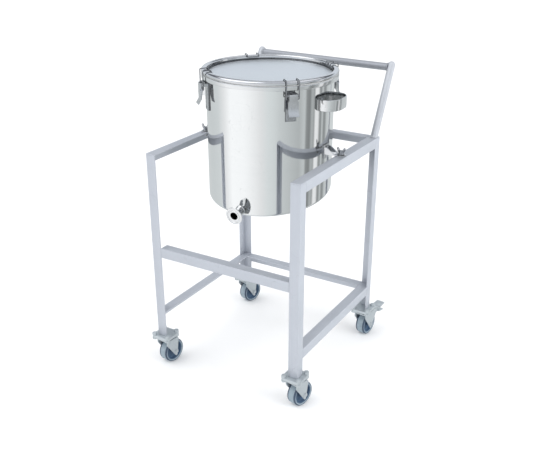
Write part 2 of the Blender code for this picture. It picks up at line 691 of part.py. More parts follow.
def latch_base_mesh(turn):
    # The base plate on the shell and its two ears, in the tank's frame with X outwards
    x, height = LATCH_PIVOT.x, LATCH_PIVOT.z
    back = box((TANK_RADIUS - 3 * MM, -LATCH_HALF_WIDTH, LATCH_PLATE_LOW),
               (LATCH_PLATE_OUTSIDE, LATCH_HALF_WIDTH, height + EAR_RADIUS - MM))
    root = TANK_RADIUS + MM
    outline = [(root, height + EAR_RADIUS), (root, height - EAR_RADIUS)]
    outline += arc((x, height), EAR_RADIUS, -90, 90, 8)
    ear_inside, ear_outside = LATCH_HALF_WIDTH - EAR_THICK, LATCH_HALF_WIDTH - GAP
    ears = [plate(outline, ear_inside, ear_outside, "XZ"), plate(outline, -ear_outside, -ear_inside, "XZ")]
    hole = rod((x, -0.03, height), (x, 0.03, height), LATCH_PIN_HOLE, 16)
    return cut(joined(back, *ears), hole, tank_wall_cutter(turn))


def latch_lever_mesh():
    # The lever with its origin on its pivot, X outwards
    front = [(5 * MM, 5 * MM), (7 * MM, 5 * MM), (7 * MM, -39 * MM), (14.5 * MM, -52 * MM),
             (12.8 * MM, -53 * MM), (5 * MM, -39.5 * MM)]
    cheek = [(-4 * MM, 5 * MM), (6 * MM, 5 * MM), (6 * MM, -39 * MM), (4 * MM, -39 * MM),
             (1 * MM, -16 * MM), (-4 * MM, -13 * MM)]
    handle = plate(front, -LEVER_HALF_WIDTH, LEVER_HALF_WIDTH, "XZ")
    inside = LEVER_HALF_WIDTH - LEVER_SHEET
    cheeks = [plate(cheek, inside, LEVER_HALF_WIDTH, "XZ"),
              plate(cheek, -LEVER_HALF_WIDTH, -inside, "XZ")]
    pin_end = LATCH_HALF_WIDTH + 0.4 * MM
    pin = rod((0, -pin_end, 0), (0, pin_end, 0), LATCH_PIN_RADIUS, 16)
    wire_holes = rod((0, -0.03, -BAIL_BELOW_PIVOT), (0, 0.03, -BAIL_BELOW_PIVOT), WIRE_HOLE, 12)
    return cut(joined(handle, *cheeks, pin), wire_holes)


def bail_mesh():
    # The wire bail, with its origin on its pivot in the lever, hooked over the lid's bead.
    # It rises a little inwards, so that it doesn't catch on the bead as the lever opens
    wide = BAIL_HALF_WIDTH
    lid_top = LID_TOP - LATCH_PIVOT.z + BAIL_BELOW_PIVOT
    half = [Vector((0, LEVER_HALF_WIDTH - LEVER_SHEET - 0.5 * MM, 0)), Vector((0, wide, 0)),
            Vector((0, wide, lid_top + BAIL_OUTER_RISE)),
            Vector((3.5 * MM - BAIL_REACH, wide, lid_top + BAIL_INNER_RISE)),
            Vector((-BAIL_REACH, wide, lid_top - BAIL_TIP_DROP))]
    other = [Vector((point.x, -point.y, point.z)) for point in half[::-1]]
    return wire(rounded(half + other, 2.5 * MM, 1), WIRE_RADIUS)


def build_latches():
    lever = latch_lever_mesh()
    bail = bail_mesh()
    for corner, turn in LATCH_TURNS.items():
        spin = Matrix.Rotation(turn, 4, "Z")
        pivot = TANK_PLACE + spin @ LATCH_PIVOT
        finish(f"{corner}_latch_base", latch_base_mesh(turn), bright_steel, TANK_PLACE, turn)
        finish(f"{corner}_latch_lever", lever, bright_steel, pivot, turn)
        finish(f"{corner}_latch_bail", bail, bright_steel, pivot - Vector((0, 0, BAIL_BELOW_PIVOT)), turn)


clear_scene()
parts = make_collection("castered_clip_lid_tank")
cutters = make_collection("cutters")
satin_steel = make_material("satin_steel", (0.60, 0.62, 0.68), 1.0, 0.42)
satin_tube = make_material("satin_tube", (0.58, 0.60, 0.63), 1.0, 0.38)
polished_steel = make_material("polished_steel", (0.72, 0.73, 0.75), 1.0, 0.12)
satin_lid = make_material("satin_lid", (0.60, 0.65, 0.72), 1.0, 0.35)
bright_steel = make_material("bright_steel", (0.70, 0.71, 0.73), 1.0, 0.2)
zinc_steel = make_material("zinc_steel", (0.52, 0.56, 0.60), 1.0, 0.4)
grey_rubber = make_material("grey_rubber", (0.30, 0.38, 0.45), 0.0, 0.6)
dark_hub = make_material("dark_hub", (0.03, 0.05, 0.09), 0.0, 0.45)
pale_rubber = make_material("pale_rubber", (0.55, 0.56, 0.56), 0.0, 0.6)

build_legs()
build_rails()
build_push_handle()
build_casters()
build_tank()
build_lid()
build_tank_handles()
build_brackets()
build_latches()
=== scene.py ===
import math

import bpy
from mathutils import Matrix, Vector


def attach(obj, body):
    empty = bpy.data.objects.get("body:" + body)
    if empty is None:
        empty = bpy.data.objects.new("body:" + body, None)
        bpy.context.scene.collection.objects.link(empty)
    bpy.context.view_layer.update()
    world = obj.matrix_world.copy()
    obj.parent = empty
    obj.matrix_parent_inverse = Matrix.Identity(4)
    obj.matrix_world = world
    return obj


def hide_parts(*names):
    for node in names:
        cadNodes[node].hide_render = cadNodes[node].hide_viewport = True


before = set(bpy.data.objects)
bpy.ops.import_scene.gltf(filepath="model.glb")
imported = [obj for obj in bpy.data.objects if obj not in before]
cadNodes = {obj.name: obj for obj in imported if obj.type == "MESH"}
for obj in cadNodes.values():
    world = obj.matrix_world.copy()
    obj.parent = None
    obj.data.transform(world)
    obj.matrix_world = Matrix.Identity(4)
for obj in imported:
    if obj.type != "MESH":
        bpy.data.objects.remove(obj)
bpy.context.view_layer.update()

# Where things are, in metres, as in the solids
tankPlace = (0, -0.03325, 0)
tankTurn = math.radians(3)
corners = {
    "front_left": (-0.230, -0.28175), "front_right": (0.230, -0.28175),
    "rear_left": (-0.230, 0.18325), "rear_right": (0.230, 0.18325),
}
rootBody = "stand_and_tank"
quarterTurn = math.pi / 2
nearEnough = 1e-4


# Shader helpers

def newNode(tree, kind, values, **settings):
    # Each socket takes a number, a colour or the output of another node
    node = tree.nodes.new(kind)
    for key, value in settings.items():
        setattr(node, key, value)
    for key, value in values.items():
        if isinstance(value, bpy.types.NodeSocket):
            tree.links.new(value, node.inputs[key])
        else:
            node.inputs[key].default_value = value
    return node


def mathNode(tree, operation, first, second):
    return newNode(tree, "ShaderNodeMath", {0: first, 1: second}, operation=operation).outputs[0]


def rangeNode(tree, value, low, high, toLow=0.0, toHigh=1.0):
    values = {"Value": value, "From Min": low, "From Max": high, "To Min": toLow, "To Max": toHigh}
    return newNode(tree, "ShaderNodeMapRange", values).outputs["Result"]


def mixNode(tree, factor, first, second):
    values = {0: factor, 6: first, 7: second}
    return newNode(tree, "ShaderNodeMix", values, data_type="RGBA").outputs[2]


def noiseNode(tree, vector, scale, detail, roughness=0.5):
    values = {"Vector": vector, "Scale": scale, "Detail": detail, "Roughness": roughness}
    return newNode(tree, "ShaderNodeTexNoise", values).outputs[0]


def bumpNode(tree, height, strength, distance):
    values = {"Height": height, "Strength": strength, "Distance": distance}
    return newNode(tree, "ShaderNodeBump", values)


def rampNode(tree, factor, colours):
    node = newNode(tree, "ShaderNodeValToRGB", {"Fac": factor})
    stops = node.color_ramp.elements
    stops.remove(stops[1])
    for index, (position, colour) in enumerate(colours):
        stop = stops.new(position) if index else stops[0]
        stop.position = position
        stop.color = (*colour, 1)
    return node.outputs["Color"]


# Camera, light and floor

cameraSetup = {
    "place": (1.105, -1.89225, 1.343), "target": (0.0846, -0.04925, 0.339), "roll": 0.76,
    "sensor": 36, "lens": 51.3, "shift": (-0.040, 0.0633), "far": 100,
}


def placeCamera():
    place, target = Vector(cameraSetup["place"]), Vector(cameraSetup["target"])
    look = (target - place).to_track_quat("-Z", "Y").to_matrix().to_4x4()
    roll = Matrix.Rotation(math.radians(cameraSetup["roll"]), 4, "Z")
    bpy.ops.object.select_all(action="DESELECT")
    bpy.ops.object.camera_add(location=place)
    camera = bpy.context.object
    camera.matrix_world = Matrix.Translation(place) @ look @ roll
    camera.data.sensor_fit = "HORIZONTAL"
    camera.data.sensor_width = cameraSetup["sensor"]
    camera.data.lens = cameraSetup["lens"]
    camera.data.shift_x, camera.data.shift_y = cameraSetup["shift"]
    camera.data.clip_end = cameraSetup["far"]
    bpy.context.scene.camera = camera


# What bright metal sees round it: panels, by their direction from the front towards the right,
# each with its brightness, and above them bands, by how steeply they lie over the floor
studio = {
    "soft": 0.96, "softColour": (0.985, 0.99, 1.0, 1), "seen": 1.0, "again": 0.33,
    "panels": [
        (-180, 0.70), (-141, 0.66), (-98, 0.67), (-77, 0.71), (-60, 0.86), (-45, 1.06),
        (-19, 1.04), (-7, 0.98), (4, 0.91), (15, 0.82), (27, 0.77), (38, 0.72), (49, 0.64),
        (71, 0.55), (84, 0.50), (95, 0.62), (99, 0.30), (106, 0.25), (110, 0.46), (114, 0.44),
        (116, 0.31), (119, 0.88), (127, 0.84), (130, 0.32), (135, 0.33), (138, 0.64),
        (143, 0.31), (148, 0.33), (153, 0.60), (170, 0.70),
    ],
    "dimBelow": 0.8, "dimRed": 0.95, "brightRed": 0.99, "blue": 1.01,
    "overhead": [
        (0.00, (0.69, 0.74, 0.80)), (0.36, (0.78, 0.83, 0.89)), (0.44, (0.16, 0.17, 0.19)),
        (0.60, (0.16, 0.17, 0.19)), (0.68, (0.92, 0.94, 0.98)), (0.88, (0.92, 0.94, 0.98)),
        (0.93, (0.50, 0.53, 0.58)),
    ],
    "overheadFrom": 0.04, "overheadFull": 0.16,
    "sun": 0.85, "sunFrom": (-1.6, -1.9, 3.2), "sunSize": 60,
    "side": 82, "sideFrom": (3.4, 0.1, 1.0), "sideTo": (0.1, 0, 0.5), "sideSize": 2.4,
}


def addLight(kind, place, target):
    bpy.ops.object.select_all(action="DESELECT")
    bpy.ops.object.light_add(type=kind, location=place)
    lamp = bpy.context.object
    lamp.rotation_euler = (Vector(target) - Vector(place)).to_track_quat("-Z", "Y").to_euler()
    return lamp


def buildStudio():
    world = bpy.data.worlds.new("studio")
    bpy.context.scene.world = world
    world.use_nodes = True
    tree = world.node_tree
    tree.nodes.clear()
    direction = newNode(tree, "ShaderNodeTexCoord", {}).outputs["Generated"]
    split = newNode(tree, "ShaderNodeSeparateXYZ", {0: direction})
    toFront = mathNode(tree, "MULTIPLY", split.outputs["Y"], -1)
    angle = mathNode(tree, "ARCTAN2", split.outputs["X"], toFront)
    panels = []
    for degrees, level in studio["panels"]:
        red = studio["dimRed"] if level < studio["dimBelow"] else studio["brightRed"]
        panels.append(((degrees + 180) / 360, (level * red, level, level * studio["blue"])))
    around = rampNode(tree, rangeNode(tree, angle, -math.pi, math.pi), panels)
    overhead = rampNode(tree, split.outputs["Z"], studio["overhead"])
    raised = rangeNode(tree, split.outputs["Z"], studio["overheadFrom"], studio["overheadFull"])
    rays = newNode(tree, "ShaderNodeLightPath", {})
    # A reflection inside a reflection is dimmer
    strength = rangeNode(tree, rays.outputs["Glossy Depth"], 1, 2, studio["seen"], studio["again"])
    soft = newNode(tree, "ShaderNodeBackground",
                   {"Color": studio["softColour"], "Strength": studio["soft"]})
    bright = newNode(tree, "ShaderNodeBackground",
                     {"Color": mixNode(tree, raised, around, overhead), "Strength": strength})
    both = newNode(tree, "ShaderNodeMixShader", {
        0: rays.outputs["Is Glossy Ray"], 1: soft.outputs[0], 2: bright.outputs[0]})
    newNode(tree, "ShaderNodeOutputWorld", {"Surface": both.outputs[0]})

    sun = addLight("SUN", studio["sunFrom"], (0, 0, 0))
    sun.data.energy = studio["sun"]
    sun.data.angle = math.radians(studio["sunSize"])
    side = addLight("AREA", studio["sideFrom"], studio["sideTo"])
    side.data.energy = studio["side"]
    side.data.size = studio["sideSize"]
    side.visible_camera = False
    side.visible_glossy = False  # the panels give the metal its reflections
    bpy.context.scene.view_settings.view_transform = "Standard"


studioFloor = {
    "size": 80, "roughness": 0.9, "gloss": 0.1, "speckle": 3,
    "shade": (0.955, 0.96, 0.965, 1), "colour": (0.975, 0.977, 0.98, 1),
}


def buildFloor():
    bpy.ops.object.select_all(action="DESELECT")
    bpy.ops.mesh.primitive_plane_add(size=studioFloor["size"])
    floor = bpy.context.object
    floor.name = "studioFloor"
    floor.visible_glossy = False  # metal sees the studio's panels instead
    paper = bpy.data.materials.new("studioPaper")
    paper.use_nodes = True
    tree = paper.node_tree
    shader = tree.nodes["Principled BSDF"]
    shader.inputs["Roughness"].default_value = studioFloor["roughness"]
    shader.inputs["Specular IOR Level"].default_value = studioFloor["gloss"]
    place = newNode(tree, "ShaderNodeTexCoord", {}).outputs["Object"]
    speckle = noiseNode(tree, place, studioFloor["speckle"], 2)
    tone = mixNode(tree, speckle, studioFloor["shade"], studioFloor["colour"])
    tree.links.new(tone, shader.inputs["Base Color"])
    floor.data.materials.append(paper)


# Effects that several finishes share

def effectGroup(name, inputs, outputs):
    tree = bpy.data.node_groups.new(name, "ShaderNodeTree")
    tree.interface.new_socket(name="Vector", in_out="INPUT", socket_type="NodeSocketVector")
    for label, kind, value in inputs:
        socket = tree.interface.new_socket(name=label, in_out="INPUT", socket_type=kind)
        socket.default_value = value
    for label in outputs:
        tree.interface.new_socket(name=label, in_out="OUTPUT", socket_type="NodeSocketFloat")
    return tree, tree.nodes.new("NodeGroupInput").outputs, tree.nodes.new("NodeGroupOutput").inputs


grainEffect = {
    "stretch": (900, 900, 14), "line": (3, 0.6), "widening": 0.12, "wideDetail": 2,
}


def buildBrushedGrain():
    # Fine lines: many across, few along
    tree, given, result = effectGroup("brushedGrain", [
        ("Stretch", "NodeSocketVector", grainEffect["stretch"])], ["Height", "Streaks"])
    fine = newNode(tree, "ShaderNodeVectorMath", {0: given["Vector"], 1: given["Stretch"]},
                   operation="MULTIPLY").outputs[0]
    wide = newNode(tree, "ShaderNodeVectorMath", {0: fine, "Scale": grainEffect["widening"]},
                   operation="SCALE").outputs[0]
    lines = noiseNode(tree, fine, 1.0, *grainEffect["line"])
    tree.links.new(lines, result["Height"])
    tree.links.new(noiseNode(tree, wide, 1.0, grainEffect["wideDetail"]), result["Streaks"])
    return tree


handlingEffect = {
    "size": 9.0, "low": 0.1, "high": 0.2, "finer": 7, "large": (4, 0.55), "small": (5, 0.6),
    "largeShare": 0.7, "smallShare": 0.3, "from": 0.36, "to": 0.66,
}


def buildHandling():
    # Cloudy patches where a surface was polished, wiped or held
    effect = handlingEffect
    tree, given, result = effectGroup("handling", [
        ("Patch Size", "NodeSocketFloat", effect["size"]),
        ("Low", "NodeSocketFloat", effect["low"]),
        ("High", "NodeSocketFloat", effect["high"])], ["Roughness", "Patches"])
    fineSize = mathNode(tree, "MULTIPLY", given["Patch Size"], effect["finer"])
    large = noiseNode(tree, given["Vector"], given["Patch Size"], *effect["large"])
    small = noiseNode(tree, given["Vector"], fineSize, *effect["small"])
    cloud = mathNode(tree, "ADD", mathNode(tree, "MULTIPLY", large, effect["largeShare"]),
                     mathNode(tree, "MULTIPLY", small, effect["smallShare"]))
    rough = rangeNode(tree, cloud, effect["from"], effect["to"], given["Low"], given["High"])
    tree.links.new(rough, result["Roughness"])
    tree.links.new(rangeNode(tree, cloud, effect["from"], effect["to"]), result["Patches"])
    return tree


scratchEffect = {
    "size": 26.0, "amount": 0.02, "turned": (0.5, 0.9, 0.3), "stretch": (1, 7, 1), "line": (2, 0.4),
    "thickness": 0.25, "gaps": 17, "gapsFrom": 0.5, "gapsTo": 0.62,
}


def buildScratches():
    # Sparse hairlines, from a thin slice of a stretched noise
    effect = scratchEffect
    tree, given, result = effectGroup("scratches", [
        ("Size", "NodeSocketFloat", effect["size"]),
        ("Amount", "NodeSocketFloat", effect["amount"])], ["Mask"])
    bent = newNode(tree, "ShaderNodeMapping", {
        "Vector": given["Vector"], "Rotation": effect["turned"], "Scale": effect["stretch"]})
    lines = noiseNode(tree, bent.outputs[0], given["Size"], *effect["line"])
    distance = mathNode(tree, "ABSOLUTE", mathNode(tree, "SUBTRACT", lines, 0.5), 0)
    thickness = mathNode(tree, "MULTIPLY", given["Amount"], effect["thickness"])
    hair = mathNode(tree, "LESS_THAN", distance, thickness)
    gaps = noiseNode(tree, given["Vector"], effect["gaps"], 1)
    broken = rangeNode(tree, gaps, effect["gapsFrom"], effect["gapsTo"])
    tree.links.new(mathNode(tree, "MULTIPLY", hair, broken), result["Mask"])
    return tree


skinEffect = {
    "pores": 900.0, "poreDetail": 2, "dust": 0.5, "cloud": (60, 5, 0.65), "from": 0.42, "to": 0.70,
}


def buildRubberSkin():
    # Moulding pores, and pale dust from the floor
    effect = skinEffect
    tree, given, result = effectGroup("rubberSkin", [
        ("Pores", "NodeSocketFloat", effect["pores"]),
        ("Dust", "NodeSocketFloat", effect["dust"])], ["Height", "Dusty"])
    pores = noiseNode(tree, given["Vector"], given["Pores"], effect["poreDetail"])
    cloud = noiseNode(tree, given["Vector"], *effect["cloud"])
    dusty = rangeNode(tree, cloud, effect["from"], effect["to"], 0.0, given["Dust"])
    tree.links.new(pores, result["Height"])
    tree.links.new(dusty, result["Dusty"])
    return tree


placeCamera()
buildStudio()
buildFloor()
effects = {
    "grain": buildBrushedGrain(), "handling": buildHandling(),
    "scratches": buildScratches(), "skin": buildRubberSkin(),
}
fineDepth = 0.0002  # metres, of grain and pores


def newMaterial(name):
    material = bpy.data.materials.new(name)
    material.use_nodes = True
    tree = material.node_tree
    place = newNode(tree, "ShaderNodeTexCoord", {}).outputs["Object"]
    return material, tree, tree.nodes["Principled BSDF"].inputs, place


def effectNode(tree, effect, place, values):
    node = tree.nodes.new("ShaderNodeGroup")
    node.node_tree = effects[effect]
    tree.links.new(place, node.inputs["Vector"])
    for key, value in values.items():
        node.inputs[key].default_value = value
    return node.outputs


def handledNode(tree, place, patch, look):
    low, high = look["rough"]
    return effectNode(tree, "handling", place, {"Patch Size": patch, "Low": low, "High": high})


steelMix = {
    "clouds": 0.55, "streaks": 0.45, "scored": 0.5, "waves": (7, 1), "waveDepth": 0.002,
}


def steelMaterial(name, look):
    material, tree, surface, place = newMaterial(name)
    surface["Metallic"].default_value = look.get("metallic", 1.0)
    grain = effectNode(tree, "grain", place, {"Stretch": look["stretch"]})
    handled = handledNode(tree, place, look["patch"], look)
    hairs = effectNode(tree, "scratches", place, {"Amount": look.get("scratched", 0.02)})
    clouds = mathNode(tree, "MULTIPLY", handled["Patches"], steelMix["clouds"])
    streaks = mathNode(tree, "MULTIPLY", grain["Streaks"], steelMix["streaks"])
    tone = mixNode(tree, mathNode(tree, "ADD", clouds, streaks),
                   (*look["shade"], 1), (*look["colour"], 1))
    marked = mathNode(tree, "MULTIPLY", hairs["Mask"], steelMix["scored"])
    scored = mixNode(tree, marked, tone, (*look["mark"], 1))
    streaked = mathNode(tree, "MULTIPLY", mathNode(tree, "SUBTRACT", grain["Streaks"], 0.5),
                        look.get("streak", 0.06))
    bump = bumpNode(tree, grain["Height"], look["bump"], fineDepth)
    if "wavy" in look:
        waves = noiseNode(tree, place, *steelMix["waves"])
        swell = bumpNode(tree, waves, look["wavy"], steelMix["waveDepth"])
        tree.links.new(swell.outputs["Normal"], bump.inputs["Normal"])
    tree.links.new(scored, surface["Base Color"])
    tree.links.new(mathNode(tree, "ADD", handled["Roughness"], streaked), surface["Roughness"])
    tree.links.new(bump.outputs["Normal"], surface["Normal"])
    return material


rubberPatch = 40


def rubberMaterial(name, look):
    material, tree, surface, place = newMaterial(name)
    surface["Specular IOR Level"].default_value = look["gloss"]
    skin = effectNode(tree, "skin", place, {"Pores": look["pores"], "Dust": look["dust"]})
    worn = handledNode(tree, place, rubberPatch, look)
    tone = mixNode(tree, worn["Patches"], (*look["shade"], 1), (*look["colour"], 1))
    dusty = mixNode(tree, skin["Dusty"], tone, (*look["dusted"], 1))
    bump = bumpNode(tree, skin["Height"], look["bump"], fineDepth)
    tree.links.new(dusty, surface["Base Color"])
    tree.links.new(worn["Roughness"], surface["Roughness"])
    tree.links.new(bump.outputs["Normal"], surface["Normal"])
    return material


# The satin of the stand's profiles and tubes, with its grain along each piece
grainAlong = {"x": (12, 900, 900), "y": (900, 12, 900), "z": (900, 900, 12)}
satinLook = {
    "colour": (0.563, 0.593, 0.649), "shade": (0.499, 0.529, 0.585), "mark": (0.378, 0.396, 0.439),
    "rough": (0.38, 0.50), "patch": 11, "bump": 0.06, "metallic": 0.42,
}
tubeLook = {"rough": (0.38, 0.50), "patch": 13, "bump": 0.05, "metallic": 0.42}
satinUpright = steelMaterial("satinUpright", {**satinLook, "stretch": grainAlong["z"]})
satinAcross = steelMaterial("satinAcross", {**satinLook, "stretch": grainAlong["x"]})
satinDeep = steelMaterial("satinDeep", {**satinLook, "stretch": grainAlong["y"]})
satinTube = steelMaterial("satinTube", {
    **tubeLook, "stretch": grainAlong["z"],
    "colour": (0.59, 0.615, 0.655), "shade": (0.50, 0.52, 0.56), "mark": (0.37, 0.385, 0.41)})
# Painted shade: the crossbar's steel is the uprights' tube steel made about a third darker, for the
# shade the crossbar shows
crossTube = steelMaterial("crossTube", {
    **tubeLook, "stretch": grainAlong["x"],
    "colour": (0.39, 0.41, 0.445), "shade": (0.32, 0.335, 0.37), "mark": (0.24, 0.25, 0.28)})
mirrorWall = steelMaterial("mirrorWall", {
    "colour": (0.90, 0.91, 0.91), "shade": (0.85, 0.865, 0.87), "mark": (0.62, 0.64, 0.65),
    "rough": (0.045, 0.085), "patch": 6, "bump": 0.012, "stretch": (40, 40, 700),
    "streak": 0.02, "scratched": 0.008, "wavy": 0.035})
mirrorTrim = steelMaterial("mirrorTrim", {
    "colour": (0.86, 0.87, 0.88), "shade": (0.78, 0.79, 0.80), "mark": (0.55, 0.56, 0.58),
    "rough": (0.09, 0.16), "patch": 22, "bump": 0.02, "stretch": (60, 60, 700), "streak": 0.03})
lidSatin = steelMaterial("lidSatin", {
    "colour": (0.85, 0.90, 0.94), "shade": (0.81, 0.86, 0.91), "mark": (0.66, 0.70, 0.74),
    "rough": (0.36, 0.43), "patch": 5, "bump": 0.03, "stretch": (500, 16, 500),
    "streak": 0.03, "metallic": 0.8})
ringPolish = steelMaterial("ringPolish", {
    "colour": (0.79, 0.80, 0.82), "shade": (0.64, 0.65, 0.67), "mark": (0.45, 0.46, 0.48),
    "rough": (0.07, 0.13), "patch": 18, "bump": 0.02, "stretch": (60, 60, 500), "streak": 0.03})
# Painted shade: a near-black steel for the thin ring laid in the corner between the lid's disc and
# its ring, standing in for the shadow line there
paintedShadeSteel = steelMaterial("paintedShadeSteel", {
    "colour": (0.15, 0.16, 0.17), "shade": (0.09, 0.095, 0.105), "mark": (0.25, 0.26, 0.27),
    "rough": (0.22, 0.34), "patch": 30, "bump": 0.04, "stretch": (60, 60, 500)})
bracketPolish = steelMaterial("bracketPolish", {
    "colour": (0.80, 0.81, 0.83), "shade": (0.66, 0.67, 0.69), "mark": (0.45, 0.46, 0.48),
    "rough": (0.10, 0.19), "patch": 40, "bump": 0.04, "stretch": (200, 200, 40),
    "scratched": 0.04})
wingPolish = steelMaterial("wingPolish", {
    "colour": (0.52, 0.53, 0.55), "shade": (0.38, 0.39, 0.41), "mark": (0.24, 0.25, 0.27),
    "rough": (0.10, 0.20), "patch": 70, "bump": 0.04, "stretch": (200, 200, 200)})
clipSteel = steelMaterial("clipSteel", {
    "colour": (0.56, 0.57, 0.59), "shade": (0.42, 0.43, 0.45), "mark": (0.24, 0.25, 0.26),
    "rough": (0.12, 0.22), "patch": 60, "bump": 0.04, "stretch": (300, 300, 40),
    "scratched": 0.05})
leverSteel = steelMaterial("leverSteel", {
    "colour": (0.71, 0.72, 0.74), "shade": (0.57, 0.58, 0.60), "mark": (0.36, 0.37, 0.39),
    "rough": (0.16, 0.26), "patch": 60, "bump": 0.04, "stretch": (300, 300, 40),
    "scratched": 0.05})
wireSteel = steelMaterial("wireSteel", {
    "colour": (0.36, 0.37, 0.39), "shade": (0.26, 0.27, 0.29), "mark": (0.16, 0.17, 0.18),
    "rough": (0.16, 0.28), "patch": 90, "bump": 0.05, "stretch": (200, 200, 200)})
zincPlate = steelMaterial("zincPlate", {
    "colour": (0.59, 0.64, 0.67), "shade": (0.51, 0.56, 0.59), "mark": (0.34, 0.37, 0.40),
    "rough": (0.36, 0.46), "patch": 30, "bump": 0.05, "stretch": (160, 160, 160),
    "scratched": 0.03, "metallic": 0.6})
tyreRubber = rubberMaterial("tyreRubber", {
    "colour": (0.31, 0.385, 0.44), "shade": (0.24, 0.31, 0.365), "dusted": (0.44, 0.50, 0.54),
    "rough": (0.48, 0.66), "gloss": 0.4, "pores": 900, "dust": 0.35, "bump": 0.18})
# Painted shade: a dark navy rubber for the thin rings on the tyres' rounded shoulders, standing in
# for the shade on the side of the tyre
paintedShadeRubber = rubberMaterial("paintedShadeRubber", {
    "colour": (0.055, 0.085, 0.13), "shade": (0.04, 0.06, 0.10), "dusted": (0.17, 0.21, 0.26),
    "rough": (0.45, 0.6), "gloss": 0.4, "pores": 900, "dust": 0.2, "bump": 0.15})
hubPlastic = rubberMaterial("hubPlastic", {
    "colour": (0.055, 0.105, 0.18), "shade": (0.03, 0.065, 0.125), "dusted": (0.17, 0.23, 0.30),
    "rough": (0.34, 0.5), "gloss": 0.5, "pores": 700, "dust": 0.18, "bump": 0.08})
gasketRubber = rubberMaterial("gasketRubber", {
    "colour": (0.56, 0.57, 0.57), "shade": (0.48, 0.49, 0.49), "dusted": (0.66, 0.66, 0.65),
    "rough": (0.55, 0.7), "gloss": 0.3, "pores": 1200, "dust": 0.2, "bump": 0.15})
print("camera, studio and finishes made")


# Modelling tools

def only(piece):
    bpy.ops.object.select_all(action="DESELECT")
    piece.select_set(True)
    bpy.context.view_layer.objects.active = piece


def settle(piece):
    only(piece)
    bpy.ops.object.transform_apply(location=True, rotation=True, scale=True)


def moveTo(piece, place, angles=(0, 0, 0)):
    settle(piece)
    piece.location = place
    piece.rotation_euler = angles
    settle(piece)


def applied(piece, kind, **values):
    only(piece)
    change = piece.modifiers.new(kind.title(), kind)
    for key, value in values.items():
        setattr(change, key, value)
    bpy.ops.object.modifier_apply(modifier=change.name)


barEase = {"segments": 3, "degrees": 50}
softAngle = 38
roundAngle = 40


def eased(piece, width, segments, degrees):
    applied(piece, "BEVEL", width=width, segments=segments, limit_method="ANGLE",
            angle_limit=math.radians(degrees))


def smoothed(piece, degrees):
    only(piece)
    bpy.ops.object.shade_smooth_by_angle(angle=math.radians(degrees))


def openMesh():
    bpy.ops.object.mode_set(mode="EDIT")
    bpy.ops.mesh.select_all(action="SELECT")


def closeMesh(weld=0.0):
    # Turns every face outwards, and first welds points that are this near
    bpy.ops.mesh.select_all(action="SELECT")
    if weld:
        bpy.ops.mesh.remove_doubles(threshold=weld)
    bpy.ops.mesh.normals_make_consistent(inside=False)
    bpy.ops.object.mode_set(mode="OBJECT")


def pick(piece, kind, test):
    # Selects in an open mesh what passes the test, and nothing else
    bpy.ops.mesh.select_mode(type=kind)
    bpy.ops.mesh.select_all(action="DESELECT")
    bpy.ops.object.mode_set(mode="OBJECT")
    mesh = piece.data
    for part in {"VERT": mesh.vertices, "EDGE": mesh.edges, "FACE": mesh.polygons}[kind]:
        part.select = test(part)
    bpy.ops.object.mode_set(mode="EDIT")


def endsOf(piece, edge):
    return [piece.data.vertices[index].co for index in edge.vertices]


def joined(pieces):
    bpy.ops.object.select_all(action="DESELECT")
    for piece in pieces:
        piece.select_set(True)
    bpy.context.view_layer.objects.active = pieces[0]
    bpy.ops.object.join()
    return pieces[0]


def copyOf(piece):
    other = bpy.data.objects.new("copy", piece.data.copy())
    bpy.context.scene.collection.objects.link(other)
    return other


def camelName(*labels):
    first, *others = "_".join(labels).split("_")
    return first + "".join(word.title() for word in others)


def dressed(piece, name, body, material, slot, *nodes):
    settle(piece)
    piece.name = name
    piece.data.materials.clear()
    piece.data.materials.append(material)
    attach(piece, body)
    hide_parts(*nodes)


weldWithin = 0.000005


def drawnLine(points):
    # A plane shrunk to one point, then extruded from point to point
    bpy.ops.object.select_all(action="DESELECT")
    bpy.ops.mesh.primitive_plane_add(size=0.002, location=points[0])
    bpy.ops.object.mode_set(mode="EDIT")
    bpy.ops.mesh.select_mode(type="VERT")
    bpy.ops.mesh.select_all(action="SELECT")
    bpy.ops.mesh.merge(type="CENTER")
    for here, there in zip(points, points[1:]):
        step = Vector(there) - Vector(here)
        bpy.ops.mesh.extrude_region_move(TRANSFORM_OT_translate={"value": tuple(step)})
    bpy.ops.object.mode_set(mode="OBJECT")
    return bpy.context.object


def spun(profile, steps, closed=False, smooth=32):
    # A profile of (radius, height), in mm, turned round the upright axis
    points = [(radius / 1000, 0, height / 1000) for radius, height in profile]
    piece = drawnLine(points + points[:1] if closed else points)
    openMesh()
    bpy.ops.mesh.spin(steps=steps, angle=2 * math.pi, center=(0, 0, 0), axis=(0, 0, 1))
    closeMesh(weldWithin)
    settle(piece)
    smoothed(piece, smooth)
    return piece


def bar(start, end, radius, sides, bevel=0.0):
    start, end = Vector(start), Vector(end)
    bpy.ops.object.select_all(action="DESELECT")
    bpy.ops.mesh.primitive_cylinder_add(
        vertices=sides, radius=radius, depth=(end - start).length, location=(start + end) / 2,
        rotation=(end - start).to_track_quat("Z", "Y").to_euler())
    piece = bpy.context.object
    settle(piece)
    if bevel:
        eased(piece, bevel, **barEase)
    smoothed(piece, roundAngle)
    return piece


def bentRod(points, radius, sides=3):
    # A curve with a round section, made a mesh
    bpy.ops.object.select_all(action="DESELECT")
    bpy.ops.curve.primitive_bezier_curve_add(location=(0, 0, 0))
    piece = bpy.context.object
    line = piece.data
    line.splines.clear()
    spline = line.splines.new("POLY")
    spline.points.add(len(points) - 1)
    for point, place in zip(spline.points, points):
        point.co = (*place, 1)
    line.dimensions = "3D"
    line.bevel_depth = radius
    line.bevel_resolution = sides
    line.use_fill_caps = True
    only(piece)
    bpy.ops.object.convert(target="MESH")
    piece = bpy.context.object
    openMesh()
    closeMesh(weldWithin)
    smoothed(piece, barEase["degrees"])
    return piece


